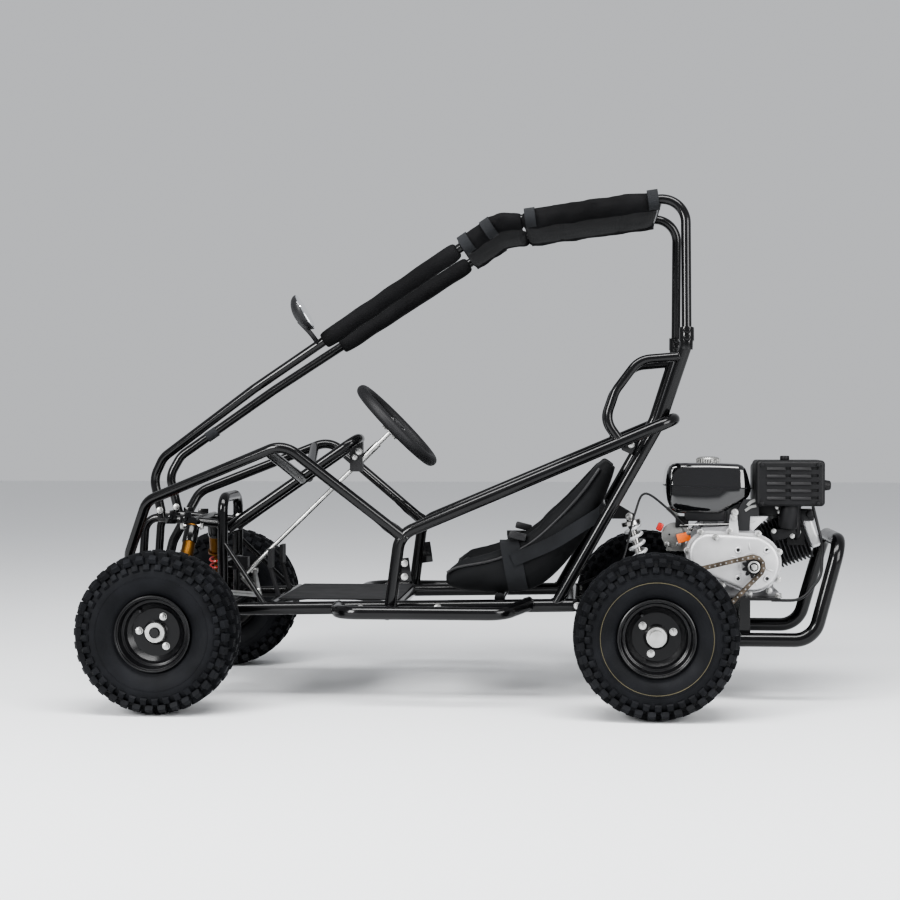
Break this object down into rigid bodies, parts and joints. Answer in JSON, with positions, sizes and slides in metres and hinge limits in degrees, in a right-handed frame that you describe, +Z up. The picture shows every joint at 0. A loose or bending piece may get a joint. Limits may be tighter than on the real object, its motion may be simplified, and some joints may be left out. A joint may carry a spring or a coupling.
{
  "type": "single-seat off-road dune buggy",
  "caption": "Single-seat dune buggy: tubular roll cage on a floor frame, steered front wheels on wishbones, and a rear engine driving a live axle by chain.",
  "frame": {"origin": "centre of the footprint on the ground plane, under the middle of the overall length", "axes": "+X forward, the way the driver faces; +Y to the driver's left; +Z up"},
  "size_m": [1.7029, 0.905, 1.1554],
  "materials": {
    "gloss_black_frame": "gloss",
    "rim_black": "satin",
    "tyre_black": "matt",
    "pad_black": "matt",
    "zinc_steel": "satin",
    "chain_steel": "satin",
    "cast_aluminium": "cast",
    "engine_black": "satin",
    "tank_black": "gloss",
    "muffler_black": "matt",
    "cleaner_black": "matt",
    "grip_black": "matt",
    "damper_gold": "satin",
    "spring_red": "gloss",
    "spring_white": "gloss",
    "damper_steel": "satin",
    "mirror_silver": "polished",
    "cable_black": "matt"
  },
  "bodies": {
    "chassis": {"air_cleaner": "cleaner_black", "arm_rails": "gloss_black_frame", "axle_carriers": "gloss_black_frame", "brake_caliper": "zinc_steel", "cage_legs": "gloss_black_frame", "cage_pads": "pad_black", "cage_top": "gloss_black_frame", "column_hoop": "gloss_black_frame", "cylinder": "engine_black", "drive_chain": "chain_steel", "drive_sprocket": "chain_steel", "engine_case": "engine_black", "engine_mount": "gloss_black_frame", "floor_frame": "gloss_black_frame", "floor_pan": "gloss_black_frame", "frame_stays": "gloss_black_frame", "front_arms": "gloss_black_frame", "front_dampers": "damper_gold", "front_springs": "spring_red", "fuel_tank": "tank_black", "gear_cover": "cast_aluminium", "mirror_glass": "mirror_silver", "mirror_shell": "cleaner_black", "muffler": "muffler_black", "nose_frame": "gloss_black_frame", "pedals": "gloss_black_frame", "rear_bumper": "gloss_black_frame", "rear_damper": "damper_steel", "rear_spring": "spring_white", "rear_subframe": "gloss_black_frame", "recoil_cover": "engine_black", "roof_pad_front": "pad_black", "roof_pad_rear": "pad_black", "seat": "pad_black", "seat_uprights": "gloss_black_frame", "side_rails": "gloss_black_frame", "side_steps": "gloss_black_frame", "steering_bushes": "cleaner_black", "tank_cap": "tank_black", "throttle_cable": "cable_black", "valve_cover": "cast_aluminium"},
    "steering": {"steering_column": "zinc_steel", "steering_wheel": "grip_black"},
    "knuckle_left": {"knuckle_left": "gloss_black_frame"},
    "wheel_front_left": {"tyre_front_left": "tyre_black", "rim_front_left": "rim_black"},
    "tie_rod_left": {"tie_rod_left": "zinc_steel"},
    "knuckle_right": {"knuckle_right": "gloss_black_frame"},
    "wheel_front_right": {"tyre_front_right": "tyre_black", "rim_front_right": "rim_black"},
    "tie_rod_right": {"tie_rod_right": "zinc_steel"},
    "rear_axle": {"axle_shaft": "zinc_steel", "axle_sprocket": "zinc_steel", "brake_disc": "zinc_steel", "tyre_rear_left": "tyre_black", "tyre_rear_right": "tyre_black", "rear_rims": "rim_black"}
  },
  "joints": [
    {"name": "steer", "type": "hinge", "parent": "chassis", "child": "steering", "pos_m": [0.5605, 0, 0.268], "axis": [-0.7177, 0, 0.6964], "range_deg": [-40, 40]},
    {"name": "kingpin_left", "type": "hinge", "parent": "chassis", "child": "knuckle_left", "pos_m": [0.6735, 0.3, 0.178], "axis": [0, 0, 1], "range_deg": [-23, 23]},
    {"name": "wheel_front_left", "type": "hinge", "parent": "knuckle_left", "child": "wheel_front_left", "pos_m": [0.6735, 0.38, 0.178], "axis": [0, 1, 0], "continuous": true},
    {"name": "tie_rod_left", "type": "hinge", "parent": "knuckle_left", "child": "tie_rod_left", "pos_m": [0.5875, 0.262, 0.238], "axis": [0, 0, 1], "range_deg": [-26.1, 26.1]},
    {"name": "kingpin_right", "type": "hinge", "parent": "chassis", "child": "knuckle_right", "pos_m": [0.6735, -0.3, 0.178], "axis": [0, 0, 1], "range_deg": [-23, 23]},
    {"name": "wheel_front_right", "type": "hinge", "parent": "knuckle_right", "child": "wheel_front_right", "pos_m": [0.6735, -0.38, 0.178], "axis": [0, 1, 0], "continuous": true},
    {"name": "tie_rod_right", "type": "hinge", "parent": "knuckle_right", "child": "tie_rod_right", "pos_m": [0.5875, -0.262, 0.238], "axis": [0, 0, 1], "range_deg": [-26.1, 26.1]},
    {"name": "rear_axle", "type": "hinge", "parent": "chassis", "child": "rear_axle", "pos_m": [-0.4115, 0, 0.178], "axis": [0, 1, 0], "continuous": true}
  ],
  "couplings": [
    {"joint": "kingpin_left", "follows": "steer", "ratio": 0.56},
    {"joint": "tie_rod_left", "follows": "steer", "ratio": -0.6388},
    {"joint": "kingpin_right", "follows": "steer", "ratio": 0.56},
    {"joint": "tie_rod_right", "follows": "steer", "ratio": -0.6388}
  ]
}
